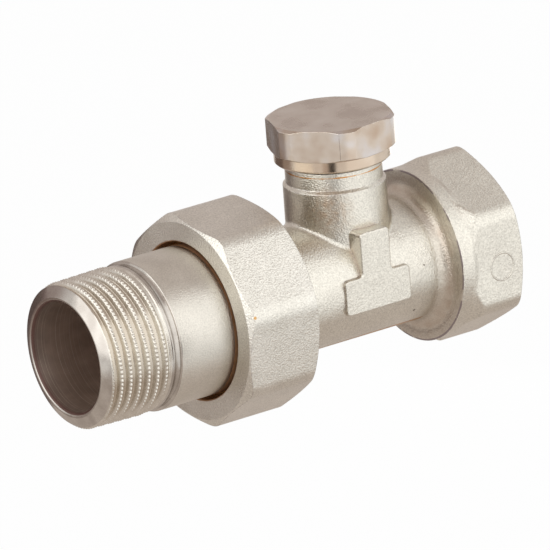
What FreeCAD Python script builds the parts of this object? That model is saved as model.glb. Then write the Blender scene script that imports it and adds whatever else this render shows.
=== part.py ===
"""Straight lockshield radiator valve with union tailpiece and screw cap.

Lengths are millimetres. The pipe axis is X and the neck stands along Z.
The origin lies on the pipe axis, at the first full thread of the pipe socket,
so the socket opens towards +X and the tailpiece points towards -X.
Sketches are drawn from the crossing of the pipe axis and the neck axis.
"""
import FreeCAD, Part
import math
import os
import Sketcher

V = FreeCAD.Vector
doc = FreeCAD.newDocument("LockshieldValve")
sheet = doc.addObject("Spreadsheet::Sheet", "Sizes")

# Driving dimensions: name, millimetres or degrees, what it sets
SIZES = [
    ("socket_reach", 27.6, "neck axis to the socket's end face"),
    ("socket_chamfer", 0.9, "lead-in at the socket mouth"),
    ("socket_thread_r", 12.06, "inside radius of the three quarter inch female thread"),
    ("socket_depth", 11.0, "socket end face to the end of the thread"),
    ("socket_af", 29.4, "across flats of the socket hexagon"),
    ("socket_corner", 3.4, "rounding of the hexagon's corners"),
    ("socket_turned_r", 16.7, "largest radius left by turning the hexagon"),
    ("socket_face_r", 14.55, "radius of the flat ring at the socket mouth"),
    ("socket_end_lead", 1.1, "length of the cone at the socket mouth"),
    ("socket_len", 13.1, "socket end face back to the collar's face"),
    ("collar_len", 3.3, "length of the collar"),
    ("hex_hidden", 1.6, "length of the hexagon's cone that starts inside the collar"),
    ("hex_cone", 3.1, "length of the cone where the hexagon grows"),
    ("collar_r", 15.1, "radius of the collar"),
    ("barrel_r", 10.85, "outside radius of the barrel"),
    ("flare_round", 2.4, "hollow round from barrel to collar"),
    ("union_reach", 24.8, "neck axis to the body's union face"),
    ("union_thread_r", 14.5, "pitch radius of the union thread"),
    ("union_thread_len", 6.6, "length of the union thread"),
    ("union_lead", 0.8, "lead-in of the union thread"),
    ("thread_gap", 0.05, "radial clearance of every running thread"),
    ("pipe_pitch", 1.814, "pitch of the pipe threads on tailpiece and socket"),
    ("pipe_thread_deep", 0.9, "depth of the pipe threads"),
    ("union_pitch", 1.5, "pitch of the union thread"),
    ("union_thread_deep", 0.75, "depth of the union thread"),
    ("cap_pitch", 1.0, "pitch of the cap's thread"),
    ("cap_thread_deep", 0.5, "depth of the cap's thread"),
    ("chamber_r", 8.8, "radius of the bores on either side of the seat"),
    ("chamber_end", 8.5, "neck axis to the blind end of those bores"),
    ("chamber_cone", 1.5, "drill cone at the blind ends"),
    ("lower_way_r", 4.2, "radius of the way under the seat"),
    ("lower_way_z", 4.9, "depth of that way's axis under the pipe axis"),
    ("lower_way_end", 5.2, "neck axis to that way's blind end"),
    ("upper_way_r", 3.8, "radius of the way above the seat"),
    ("upper_way_z", 5.2, "height of that way's axis"),
    ("well_r", 5.9, "radius of the well around the closing disc"),
    ("well_floor", 1.2, "height of the well's floor"),
    ("seat_z", 1.8, "height of the seat's rim"),
    ("seat_hole_r", 4.4, "radius of the hole through the seat"),
    ("seat_rim_r", 5.3, "outside radius of the seat's rim"),
    ("neck_taper", 0.15, "how much wider the neck is at its root than under its step"),
    ("neck_low_r", 8.8, "radius of the neck under its step"),
    ("neck_up_r", 8.3, "radius of the neck above its step"),
    ("neck_step_z", 17.0, "height of the neck's step"),
    ("neck_step_len", 0.5, "slope of the step"),
    ("neck_shoulder_z", 20.5, "height of the neck's shoulder"),
    ("neck_top_z", 25.4, "height of the neck's rim"),
    ("neck_lead", 0.6, "lead-in of the neck's thread"),
    ("neck_round", 0.9, "round between neck and barrel"),
    ("cap_thread_r", 7.75, "pitch radius of the cap's thread"),
    ("pad_y", 11.3, "pipe axis to the face of the tee-shaped pad"),
    ("pad_sink", 5.0, "depth of the pad"),
    ("pad_mid_x", -0.6, "middle of the pad along the pipe"),
    ("pad_arm_half", 6.8, "half length of the pad's arms"),
    ("pad_stem_half", 3.05, "half width of the pad's stem"),
    ("pad_low_z", -3.3, "bottom of the arms"),
    ("pad_arm_z", 2.9, "top of the arms"),
    ("pad_top_z", 10.55, "top of the stem"),
    ("pad_corner", 0.8, "rounding of the pad's corners"),
    ("pad_edge", 0.3, "rounding of the pad's face edge"),
    ("bonnet_bore_r", 6.2, "radius of the neck's bore"),
    ("bonnet_gap", 0.05, "radial clearance around the bonnet"),
    ("bonnet_seat_z", 9.0, "height of the shoulder under the bonnet"),
    ("bonnet_top_z", 24.9, "top of the bonnet"),
    ("bonnet_groove_r", 5.2, "floor of the bonnet's ring groove"),
    ("bonnet_groove_z", 10.6, "bottom of that groove"),
    ("bonnet_groove_w", 1.5, "width of that groove"),
    ("bonnet_slot", 1.8, "width of the bonnet's key slots"),
    ("bonnet_slot_deep", 1.0, "depth of the key slots"),
    ("spindle_thread_r", 4.15, "pitch radius of the spindle's thread"),
    ("spindle_thread_z", 9.3, "bottom of the spindle's thread"),
    ("spindle_thread_top", 14.7, "top of the spindle's thread"),
    ("guide_z", 15.2, "bottom of the bonnet's smooth bore"),
    ("land_r", 4.6, "radius of the spindle's sealing land"),
    ("land_z", 15.35, "bottom of the sealing land"),
    ("land_gap", 0.05, "radial clearance of the sealing land"),
    ("ring_floor_r", 3.45, "floor of the spindle's ring grooves"),
    ("ring_groove_w", 1.4, "width of the spindle's ring grooves"),
    ("lower_ring_z", 15.9, "bottom of the lower ring groove"),
    ("upper_ring_z", 17.95, "bottom of the upper ring groove"),
    ("spindle_top_z", 20.0, "top of the spindle when closed"),
    ("spindle_neck_r", 3.2, "radius of the spindle between thread and land"),
    ("stem_r", 2.6, "radius of the spindle's stem"),
    ("key_af", 4.0, "across flats of the key socket"),
    ("key_deep", 4.0, "depth of the key socket"),
    ("ring_gap", 0.05, "free space around each sealing ring"),
    ("clip_z", 23.8, "underside of the travel stop ring"),
    ("clip_gap", 0.05, "clearance of the stop ring in its groove"),
    ("clip_thick", 0.7, "thickness of the travel stop ring"),
    ("clip_in_r", 4.0, "inside radius of the travel stop ring"),
    ("clip_groove_r", 5.15, "floor of the travel stop's groove"),
    ("clip_arc", 312.0, "degrees of the travel stop ring"),
    ("foot_r", 2.2, "radius of the spindle's foot"),
    ("foot_z", 5.0, "underside of the foot"),
    ("foot_top", 5.9, "top of the foot"),
    ("foot_neck_r", 1.5, "radius of the neck above the foot"),
    ("foot_neck_top", 7.3, "top of that neck"),
    ("foot_gap", 0.05, "clearance around the foot"),
    ("disc_r", 5.5, "radius of the closing disc"),
    ("disc_low", 3.3, "underside of the closing disc"),
    ("disc_mid", 4.9, "top of the disc's flange"),
    ("boss_r", 3.6, "radius of the disc's boss"),
    ("boss_top", 6.9, "top of the disc's boss"),
    ("seal_in_r", 1.9, "hole in the disc's seal"),
    ("seal_out_r", 5.4, "outside radius of the disc's seal"),
    ("washer_r", 3.0, "radius of the seal's washer"),
    ("washer_thick", 0.7, "thickness of that washer"),
    ("screw_r", 1.2, "radius of the seal's screw"),
    ("screw_hole_r", 1.25, "hole in disc and washer for the screw"),
    ("screw_head_r", 2.2, "radius of the screw's head"),
    ("screw_head_len", 1.2, "height of the screw's head"),
    ("screw_end_z", 4.3, "end of the screw inside the disc"),
    ("screw_hole_end", 4.4, "end of the hole for the screw"),
    ("screw_slot", 0.6, "width of the screw's slot"),
    ("cap_low_z", 21.06, "bottom of the cap's skirt"),
    ("cap_skirt_r", 9.95, "radius of the cap's skirt"),
    ("cap_head_z", 23.1, "bottom of the cap's hexagon"),
    ("cap_top_z", 28.6, "top of the cap"),
    ("cap_af", 20.4, "across flats of the cap's hexagon"),
    ("cap_turned_r", 11.05, "radius of the turned corners"),
    ("cap_face_r", 10.35, "radius of the cap's top face"),
    ("cap_lead", 0.4, "height of the cap's chamfers"),
    ("cap_roof_z", 26.4, "underside of the cap's roof"),
    ("cap_gasket_in", 5.6, "hole in the cap's gasket"),
    ("cap_gasket_out", 7.6, "outside radius of the cap's gasket"),
    ("nut_len", 14.5, "length of the union nut"),
    ("nut_af", 34.8, "across flats of the union nut"),
    ("nut_corner", 4.2, "rounding of the nut's corners"),
    ("nut_face_r", 17.15, "radius of the nut's flat front ring"),
    ("nut_turned_r", 18.9, "end of the nut's front cone"),
    ("nut_cone", 1.1, "length of the nut's front cone"),
    ("nut_web", 3.3, "thickness of the nut's front web"),
    ("nut_hole_r", 13.75, "hole in the nut's front web"),
    ("nut_hole_lead", 0.15, "chamfer of that hole"),
    ("nut_thread_lead", 0.7, "lead-in of the nut's thread"),
    ("tail_len", 31.3, "length of the tailpiece"),
    ("tail_bore_r", 9.6, "radius of the tailpiece's bore"),
    ("tail_lip_r", 10.35, "radius of the ring at the tailpiece's end"),
    ("tail_cone_r", 12.3, "end radius of the end cone"),
    ("tail_cone_len", 0.85, "length of the end cone"),
    ("tail_thread_r", 12.75, "radius over the crests of the tailpiece's male thread"),
    ("tail_thread_start", 1.6, "tailpiece's end to the first full thread"),
    ("tail_thread_len", 11.8, "length of the male thread"),
    ("tail_band_r", 12.45, "radius of the turned band behind the thread"),
    ("tail_band_len", 1.3, "length of the turned band"),
    ("tail_lead", 0.4, "small chamfers of the tailpiece's bore"),
    ("tail_pipe_r", 12.97, "radius of the tailpiece's plain length"),
    ("tail_flange_r", 14.4, "radius of the flange held by the nut"),
    ("tail_flange_len", 2.5, "thickness of that flange"),
    ("gasket_thick", 1.5, "thickness of the union gasket"),
    ("gasket_in_r", 9.9, "hole in the union gasket"),
    ("gasket_out_r", 13.8, "outside radius of the union gasket"),
]


class Size:
    """A length that carries its value and the sheet expression behind it."""

    def __init__(self, value, text):
        self.value = value
        self.text = text

    def join(self, other, sign, value):
        return Size(value, "(" + self.text + " " + sign + " " + as_size(other).text + ")")

    def __add__(self, other):
        return self.join(other, "+", self.value + as_size(other).value)

    def __sub__(self, other):
        return self.join(other, "-", self.value - as_size(other).value)

    def __mul__(self, other):
        return self.join(other, "*", self.value * as_size(other).value)

    def __neg__(self):
        return self * -1.0


def as_size(item):
    """Turns a plain number into a Size."""
    if isinstance(item, Size):
        return item
    return Size(float(item), repr(round(float(item), 7)))


# Fill the sheet
s = {}
for row, (name, amount, note) in enumerate(SIZES, start=1):
    sheet.set("A%d" % row, name)
    sheet.set("B%d" % row, str(amount))
    sheet.set("C%d" % row, note)
    sheet.setAlias("B%d" % row, name)
    s[name] = Size(amount, "Sizes." + name)
doc.recompute()


def new_body(label):
    """A sub-part that stands on the neck axis."""
    body = doc.addObject("PartDesign::Body", label)
    body.Label = label
    body.setExpression("Placement.Base.x", (s["socket_chamfer"] - s["socket_reach"]).text)
    return body


def new_sketch(body, label, plane, offset=None):
    """A sketch on one of the body's planes, moved along that plane's normal."""
    sketch = body.newObject("Sketcher::SketchObject", label)
    planes = [item for item in body.Origin.OriginFeatures if item.Role == plane]
    sketch.AttachmentSupport = [(planes[0], "")]
    sketch.MapMode = "FlatFace"
    if offset is not None:
        sketch.setExpression("AttachmentOffset.Base.z", as_size(offset).text)
    return sketch


def pin_point(sketch, line, place, x, y):
    """Fixes one end of a line at a distance from the sketch's axes."""
    for item, kind, axis in ((x, "DistanceX", -2), (y, "DistanceY", -1)):
        item = as_size(item)
        if abs(item.value) < 1e-9:
            sketch.addConstraint(Sketcher.Constraint("PointOnObject", line, place, axis))
            continue
        index = sketch.addConstraint(Sketcher.Constraint(kind, -1, 1, line, place, item.value))
        sketch.setExpression("Constraints[%d]" % index, item.text)


def add_loop(sketch, corners):
    """A closed line through the corners, each one held by its sizes."""
    first = sketch.GeometryCount
    points = [V(as_size(x).value, as_size(y).value, 0) for x, y in corners]
    count = len(points)
    for index in range(count):
        sketch.addGeometry(Part.LineSegment(points[index], points[(index + 1) % count]), False)
    for index in range(count):
        following = first + (index + 1) % count
        sketch.addConstraint(Sketcher.Constraint("Coincident", first + index, 2, following, 1))
    for index, (x, y) in enumerate(corners):
        pin_point(sketch, first + index, 1, x, y)


def add_circle(sketch, x, y, radius):
    """A circle held by its centre and radius."""
    centre = V(as_size(x).value, as_size(y).value, 0)
    circle = sketch.addGeometry(Part.Circle(centre, V(0, 0, 1), as_size(radius).value), False)
    index = sketch.addConstraint(Sketcher.Constraint("Radius", circle, as_size(radius).value))
    sketch.setExpression("Constraints[%d]" % index, as_size(radius).text)
    pin_point(sketch, circle, 3, x, y)


def spin(body, label, kind, axis, loops, angle=None):
    """Turns closed profiles in the XZ plane around the pipe axis or the neck axis."""
    sketch = new_sketch(body, label + "_profile", "XZ_Plane")
    for corners in loops:
        add_loop(sketch, corners)
    feature = body.newObject("PartDesign::" + kind, label)
    feature.Profile = sketch
    feature.ReferenceAxis = (sketch, [axis])
    feature.Angle = 360.0
    if angle is not None:
        feature.setExpression("Angle", angle.text)
    sketch.Visibility = False
    doc.recompute()
    return feature


def extrude(body, label, kind, sketch, length, backwards=False):
    """Pads or pockets a sketch along its normal."""
    feature = body.newObject("PartDesign::" + kind, label)
    feature.Profile = sketch
    feature.setExpression("Length", as_size(length).text)
    feature.Reversed = backwards
    doc.recompute()
    return feature


def regular_corners(across_flats, sides, first_degrees):
    """Corners of a regular polygon around the sketch's origin."""
    reach = across_flats * (0.5 / math.cos(math.pi / sides))
    corners = []
    for index in range(sides):
        turn = math.radians(first_degrees + index * 360.0 / sides)
        corners.append((reach * math.cos(turn), reach * math.sin(turn)))
    return corners


def prism(body, label, plane, offset, corners, length, backwards=False, kind="Pad"):
    """A straight prism over a polygon."""
    sketch = new_sketch(body, label + "_outline", plane, offset)
    add_loop(sketch, corners)
    return extrude(body, label, kind, sketch, length, backwards)


def round_edges(body, label, wanted, radius):
    """Rounds every edge of the body's tip that the test picks out."""
    tip = body.Tip
    names = []
    for index, edge in enumerate(tip.Shape.Edges, start=1):
        if wanted(edge):
            names.append("Edge%d" % index)
    if not names:
        raise ValueError("no edge found for " + label)
    feature = body.newObject("PartDesign::Fillet", label)
    feature.Base = (tip, names)
    feature.setExpression("Radius", radius.text)
    doc.recompute()
    return feature


def straight_along(edge, axis):
    """True for a straight edge that runs along one axis."""
    if len(edge.Vertexes) != 2 or not isinstance(edge.Curve, (Part.Line, Part.LineSegment)):
        return False
    step = edge.Vertexes[1].Point - edge.Vertexes[0].Point
    return abs(abs(step[axis]) - step.Length) < 1e-6


def thread_rings(body, label, axis, start, length, pitch, crest_r, depth):
    """A thread's relief as a row of V-shaped rings, cut from the crests by depth.

    A positive depth cuts towards the axis, as on a screw, and a negative one away from it.
    """
    flat = pitch * 0.2
    half = (pitch - flat) * 0.5
    clear = crest_r + depth * 0.3
    root = crest_r - depth
    loops = []
    for index in range(int(length.value / pitch.value)):
        middle = start + pitch * (index + 0.5)
        loops.append([
            (middle - half, clear),
            (middle - half, crest_r),
            (middle, root),
            (middle + half, crest_r),
            (middle + half, clear),
        ])
    if axis == "V_Axis":
        loops = [[(across, along) for along, across in corners] for corners in loops]
    return spin(body, label, "Groove", axis, loops)


def ring(label, inner, outer, low, high):
    """A flat ring around the neck axis."""
    body = new_body(label)
    corners = [(inner, low), (outer, low), (outer, high), (inner, high)]
    spin(body, label + "_ring", "Revolution", "V_Axis", [corners])
    return body


def sealing_ring(label, floor_r, wall_r, low, width):
    """A round rubber ring that lies free between a groove's floor and a bore."""
    torus = doc.addObject("Part::Torus", label)
    torus.Label = label
    middle = (floor_r + wall_r) * 0.5
    section = (wall_r - floor_r) * 0.5 - s["ring_gap"]
    torus.setExpression("Radius1", middle.text)
    torus.setExpression("Radius2", section.text)
    torus.setExpression("Placement.Base.x", (s["socket_chamfer"] - s["socket_reach"]).text)
    torus.setExpression("Placement.Base.z", (low + width * 0.5).text)
    return torus


# Places along the pipe, counted from the neck axis
collar_x = s["socket_reach"] - s["socket_len"]
collar_end = collar_x + s["collar_len"]
hex_start = collar_end - s["hex_hidden"]
hex_full = hex_start + s["hex_cone"]
union_face = -s["union_reach"]
flange_back = union_face - s["gasket_thick"]
flange_front = flange_back - s["tail_flange_len"]
nut_front = flange_front - s["nut_web"]
nut_back = nut_front + s["nut_len"]
tail_end = flange_back - s["tail_len"]

# Valve body: the socket's hexagon is made first, then the turned forms grow out of it
valve_body = new_body("valve_body")
prism(valve_body, "socket_hexagon", "YZ_Plane", hex_start,
      regular_corners(s["socket_af"], 6, 30.0), s["socket_reach"] - hex_start)
round_edges(valve_body, "socket_corners", lambda edge: straight_along(edge, 0), s["socket_corner"])
over = s["socket_turned_r"] * 1.2
spin(valve_body, "socket_cones", "Groove", "H_Axis", [
    [
        (hex_start - s["socket_end_lead"], s["socket_face_r"]),
        (hex_start, s["socket_face_r"]),
        (hex_full, s["socket_turned_r"]),
        (hex_full, over),
        (hex_start - s["socket_end_lead"], over),
    ],
    [
        (s["socket_reach"] + s["socket_end_lead"], s["socket_face_r"]),
        (s["socket_reach"] + s["socket_end_lead"], over),
        (s["socket_reach"] - s["socket_end_lead"], over),
        (s["socket_reach"] - s["socket_end_lead"], s["socket_turned_r"]),
        (s["socket_reach"], s["socket_face_r"]),
    ],
])
thread_back = union_face + s["union_thread_len"]
spin(valve_body, "barrel", "Revolution", "H_Axis", [[
    (union_face, 0),
    (union_face, s["union_thread_r"] - s["union_lead"]),
    (union_face + s["union_lead"], s["union_thread_r"]),
    (thread_back, s["union_thread_r"]),
    (thread_back, s["barrel_r"]),
    (collar_x, s["barrel_r"]),
    (collar_x, s["collar_r"]),
    (collar_end, s["collar_r"]),
    (collar_end, 0),
]])


def at_collar_foot(edge):
    """The circle where the barrel meets the collar's face."""
    if not isinstance(edge.Curve, Part.Circle):
        return False
    placed = abs(edge.Curve.Center.x - collar_x.value) < 1e-5
    return placed and abs(edge.Curve.Radius - s["barrel_r"].value) < 1e-5


round_edges(valve_body, "flare", at_collar_foot, s["flare_round"])
neck_root_r = s["neck_low_r"] + s["neck_taper"]
spin(valve_body, "neck", "Revolution", "V_Axis", [[
    (0, 0),
    (neck_root_r, 0),
    (s["neck_low_r"], s["neck_step_z"]),
    (s["neck_up_r"], s["neck_step_z"] + s["neck_step_len"]),
    (s["neck_up_r"], s["neck_shoulder_z"]),
    (s["cap_thread_r"], s["neck_shoulder_z"]),
    (s["cap_thread_r"], s["neck_top_z"] - s["neck_lead"]),
    (s["cap_thread_r"] - s["neck_lead"], s["neck_top_z"]),
    (0, s["neck_top_z"]),
]])


def at_neck_root(edge):
    """The curve where the neck grows out of the barrel."""
    if len(edge.Vertexes) == 0 or isinstance(edge.Curve, (Part.Circle, Part.Line)):
        return False
    near = [math.hypot(spot.x, spot.y) <= neck_root_r.value for spot in edge.discretize(9)]
    return all(near) and edge.BoundBox.ZMin > 0


round_edges(valve_body, "neck_root", at_neck_root, s["neck_round"])

# Raised tee-shaped pad on the side of the body
arm_left = s["pad_mid_x"] - s["pad_arm_half"]
arm_right = s["pad_mid_x"] + s["pad_arm_half"]
stem_left = s["pad_mid_x"] - s["pad_stem_half"]
stem_right = s["pad_mid_x"] + s["pad_stem_half"]
prism(valve_body, "tee_pad", "XZ_Plane", s["pad_y"], [
    (arm_left, s["pad_low_z"]),
    (arm_right, s["pad_low_z"]),
    (arm_right, s["pad_arm_z"]),
    (stem_right, s["pad_arm_z"]),
    (stem_right, s["pad_top_z"]),
    (stem_left, s["pad_top_z"]),
    (stem_left, s["pad_arm_z"]),
    (arm_left, s["pad_arm_z"]),
], s["pad_sink"], True)


def at_pad_corner(edge):
    """The pad's upright corners, which run along Y."""
    box = edge.BoundBox
    return straight_along(edge, 1) and abs(box.YMin + s["pad_y"].value) < 1e-6


def at_pad_face(edge):
    """The outline of the pad's flat face."""
    box = edge.BoundBox
    return box.YLength < 1e-6 and abs(box.YMin + s["pad_y"].value) < 1e-6


round_edges(valve_body, "pad_corners", at_pad_corner, s["pad_corner"])
round_edges(valve_body, "pad_rim", at_pad_face, s["pad_edge"])

# Waterway: a bore from each end, joined by a way under the seat and a way above it
spin(valve_body, "end_bores", "Groove", "H_Axis", [
    [
        (s["chamber_end"], 0),
        (s["socket_reach"], 0),
        (s["socket_reach"], s["socket_thread_r"] + s["socket_chamfer"]),
        (s["socket_reach"] - s["socket_chamfer"], s["socket_thread_r"]),
        (s["socket_reach"] - s["socket_depth"], s["socket_thread_r"]),
        (s["socket_reach"] - s["socket_depth"], s["chamber_r"]),
        (s["chamber_end"] + s["chamber_cone"], s["chamber_r"]),
        (s["chamber_end"], s["chamber_r"] - s["chamber_cone"]),
    ],
    [
        (union_face, 0),
        (-s["chamber_end"], 0),
        (-s["chamber_end"], s["chamber_r"] - s["chamber_cone"]),
        (-s["chamber_end"] - s["chamber_cone"], s["chamber_r"]),
        (union_face, s["chamber_r"]),
    ],
])
spin(valve_body, "neck_bore", "Groove", "V_Axis", [[
    (0, s["seat_z"]),
    (s["seat_rim_r"], s["seat_z"]),
    (s["seat_rim_r"], s["well_floor"]),
    (s["well_r"], s["well_floor"]),
    (s["well_r"], s["bonnet_seat_z"]),
    (s["bonnet_bore_r"], s["bonnet_seat_z"]),
    (s["bonnet_bore_r"], s["neck_top_z"]),
    (0, s["neck_top_z"]),
]])
spin(valve_body, "seat_hole", "Groove", "V_Axis", [[
    (0, -s["lower_way_z"]),
    (s["seat_hole_r"], -s["lower_way_z"]),
    (s["seat_hole_r"], s["seat_z"]),
    (0, s["seat_z"]),
]])
way_mouth = s["chamber_end"] + s["chamber_cone"] * 1.3
lower_way = new_sketch(valve_body, "lower_way_outline", "YZ_Plane", s["lower_way_end"])
add_circle(lower_way, 0, -s["lower_way_z"], s["lower_way_r"])
extrude(valve_body, "lower_way", "Pocket", lower_way, s["lower_way_end"] + way_mouth)
upper_way = new_sketch(valve_body, "upper_way_outline", "YZ_Plane", way_mouth)
add_circle(upper_way, 0, s["upper_way_z"], s["upper_way_r"])
extrude(valve_body, "upper_way", "Pocket", upper_way, way_mouth)

# Relief of the body's three threads
socket_back = s["socket_reach"] - s["socket_depth"]
thread_rings(valve_body, "socket_thread", "H_Axis", socket_back, s["socket_depth"] - s["socket_chamfer"],
             s["pipe_pitch"], s["socket_thread_r"], -s["pipe_thread_deep"])
thread_rings(valve_body, "union_thread", "H_Axis", union_face + s["union_lead"],
             s["union_thread_len"] - s["union_lead"], s["union_pitch"], s["union_thread_r"],
             s["union_thread_deep"])
thread_rings(valve_body, "neck_thread", "V_Axis", s["neck_shoulder_z"],
             s["neck_top_z"] - s["neck_lead"] - s["neck_shoulder_z"], s["cap_pitch"], s["cap_thread_r"],
             s["cap_thread_deep"])

# Union nut: an octagon with rounded corners, coned at both ends
union_nut = new_body("union_nut")
prism(union_nut, "nut_octagon", "YZ_Plane", nut_front,
      regular_corners(s["nut_af"], 8, 32.4), s["nut_len"])
round_edges(union_nut, "nut_corners", lambda edge: straight_along(edge, 0), s["nut_corner"])
nut_over = s["nut_turned_r"] * 1.1
spin(union_nut, "nut_cones", "Groove", "H_Axis", [
    [
        (nut_front - s["nut_cone"], s["nut_face_r"]),
        (nut_front, s["nut_face_r"]),
        (nut_front + s["nut_cone"], s["nut_turned_r"]),
        (nut_front + s["nut_cone"], nut_over),
        (nut_front - s["nut_cone"], nut_over),
    ],
    [
        (nut_back + s["nut_cone"], s["nut_face_r"]),
        (nut_back + s["nut_cone"], nut_over),
        (nut_back - s["nut_cone"], nut_over),
        (nut_back - s["nut_cone"], s["nut_turned_r"]),
        (nut_back, s["nut_face_r"]),
    ],
])
nut_thread_r = s["union_thread_r"] + s["thread_gap"]
spin(union_nut, "nut_bore", "Groove", "H_Axis", [[
    (nut_front, 0),
    (nut_front, s["nut_hole_r"] + s["nut_hole_lead"]),
    (nut_front + s["nut_hole_lead"], s["nut_hole_r"]),
    (flange_front, s["nut_hole_r"]),
    (flange_front, nut_thread_r),
    (nut_back - s["nut_thread_lead"], nut_thread_r),
    (nut_back, nut_thread_r + s["nut_thread_lead"]),
    (nut_back, 0),
]])
thread_rings(union_nut, "nut_thread", "H_Axis", flange_back, nut_back - s["nut_thread_lead"] - flange_back,
             s["union_pitch"], nut_thread_r, -s["union_thread_deep"])

# Tailpiece: turned from bar, its flange sits behind the nut's web
tailpiece = new_body("tailpiece")
tail_inner = s["tail_bore_r"]
thread_front = tail_end + s["tail_thread_start"]
thread_rear = thread_front + s["tail_thread_len"]
band_rear = thread_rear + s["tail_band_len"]
spin(tailpiece, "tail_turning", "Revolution", "H_Axis", [[
    (tail_end, tail_inner + s["tail_lead"]),
    (tail_end, s["tail_lip_r"]),
    (tail_end + s["tail_cone_len"], s["tail_cone_r"]),
    (thread_front, s["tail_thread_r"]),
    (thread_rear, s["tail_thread_r"]),
    (thread_rear + s["tail_lead"], s["tail_band_r"]),
    (band_rear - s["tail_lead"], s["tail_band_r"]),
    (band_rear, s["tail_pipe_r"]),
    (flange_front, s["tail_pipe_r"]),
    (flange_front, s["tail_flange_r"]),
    (flange_back, s["tail_flange_r"]),
    (flange_back, tail_inner + s["tail_lead"]),
    (flange_back - s["tail_lead"], tail_inner),
    (tail_end + s["tail_lead"], tail_inner),
]])
thread_rings(tailpiece, "tail_thread", "H_Axis", thread_front, s["tail_thread_len"], s["pipe_pitch"],
             s["tail_thread_r"], s["pipe_thread_deep"])

# Union gasket between the tailpiece's flange and the body
union_gasket = new_body("union_gasket")
spin(union_gasket, "gasket_ring", "Revolution", "H_Axis", [[
    (flange_back, s["gasket_in_r"]),
    (flange_back, s["gasket_out_r"]),
    (union_face, s["union_thread_r"] - s["union_lead"]),
    (union_face, s["gasket_in_r"]),
]])

# Bonnet: screwed into the neck, it carries the spindle's thread and sealing bore
bonnet = new_body("bonnet")
bonnet_r = s["bonnet_bore_r"] - s["bonnet_gap"]
guide_r = s["land_r"] + s["land_gap"]
female_r = s["spindle_thread_r"] + s["thread_gap"]
groove_top = s["bonnet_groove_z"] + s["bonnet_groove_w"]
clip_high = s["clip_z"] + s["clip_thick"]
spin(bonnet, "bonnet_turning", "Revolution", "V_Axis", [[
    (female_r, s["bonnet_seat_z"]),
    (bonnet_r, s["bonnet_seat_z"]),
    (bonnet_r, s["bonnet_groove_z"]),
    (s["bonnet_groove_r"], s["bonnet_groove_z"]),
    (s["bonnet_groove_r"], groove_top),
    (bonnet_r, groove_top),
    (bonnet_r, s["bonnet_top_z"]),
    (guide_r, s["bonnet_top_z"]),
    (guide_r, clip_high + s["clip_gap"]),
    (s["clip_groove_r"], clip_high + s["clip_gap"]),
    (s["clip_groove_r"], s["clip_z"] - s["clip_gap"]),
    (guide_r, s["clip_z"] - s["clip_gap"]),
    (guide_r, s["guide_z"]),
    (female_r, s["guide_z"]),
]])
slot_reach = s["bonnet_bore_r"] + 1.0
slot_half = s["bonnet_slot"] * 0.5
slots = [(-slot_reach, -slot_half), (slot_reach, -slot_half), (slot_reach, slot_half), (-slot_reach, slot_half)]
prism(bonnet, "bonnet_slots", "XY_Plane", s["bonnet_top_z"], slots, s["bonnet_slot_deep"] * 0.3, False, "Pocket")
bonnet_oring = sealing_ring("bonnet_oring", s["bonnet_groove_r"], s["bonnet_bore_r"],
                            s["bonnet_groove_z"], s["bonnet_groove_w"])

# Spindle: foot, stem, thread and sealing land, with a key socket in its top
spindle = new_body("spindle")
lower_top = s["lower_ring_z"] + s["ring_groove_w"]
upper_top = s["upper_ring_z"] + s["ring_groove_w"]
spin(spindle, "spindle_turning", "Revolution", "V_Axis", [[
    (0, s["foot_z"]),
    (s["foot_r"], s["foot_z"]),
    (s["foot_r"], s["foot_top"]),
    (s["foot_neck_r"], s["foot_top"]),
    (s["foot_neck_r"], s["foot_neck_top"]),
    (s["stem_r"], s["foot_neck_top"]),
    (s["stem_r"], s["spindle_thread_z"]),
    (s["spindle_thread_r"], s["spindle_thread_z"]),
    (s["spindle_thread_r"], s["spindle_thread_top"]),
    (s["spindle_neck_r"], s["spindle_thread_top"]),
    (s["spindle_neck_r"], s["land_z"]),
    (s["land_r"], s["land_z"]),
    (s["land_r"], s["lower_ring_z"]),
    (s["ring_floor_r"], s["lower_ring_z"]),
    (s["ring_floor_r"], lower_top),
    (s["land_r"], lower_top),
    (s["land_r"], s["upper_ring_z"]),
    (s["ring_floor_r"], s["upper_ring_z"]),
    (s["ring_floor_r"], upper_top),
    (s["land_r"], upper_top),
    (s["land_r"], s["spindle_top_z"]),
    (0, s["spindle_top_z"]),
]])
prism(spindle, "key_socket", "XY_Plane", s["spindle_top_z"],
      regular_corners(s["key_af"], 6, 0.0), s["key_deep"], False, "Pocket")
spindle_oring_lower = sealing_ring("spindle_oring_lower", s["ring_floor_r"], guide_r,
                                   s["lower_ring_z"], s["ring_groove_w"])
spindle_oring_upper = sealing_ring("spindle_oring_upper", s["ring_floor_r"], guide_r,
                                   s["upper_ring_z"], s["ring_groove_w"])

# Travel stop: an open spring ring in the bonnet's top
travel_stop = new_body("travel_stop_ring")
clip_out = s["clip_groove_r"] - s["ring_gap"]
spin(travel_stop, "stop_ring", "Revolution", "V_Axis", [[
    (s["clip_in_r"], s["clip_z"]),
    (clip_out, s["clip_z"]),
    (clip_out, clip_high),
    (s["clip_in_r"], clip_high),
]], s["clip_arc"])

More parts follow.
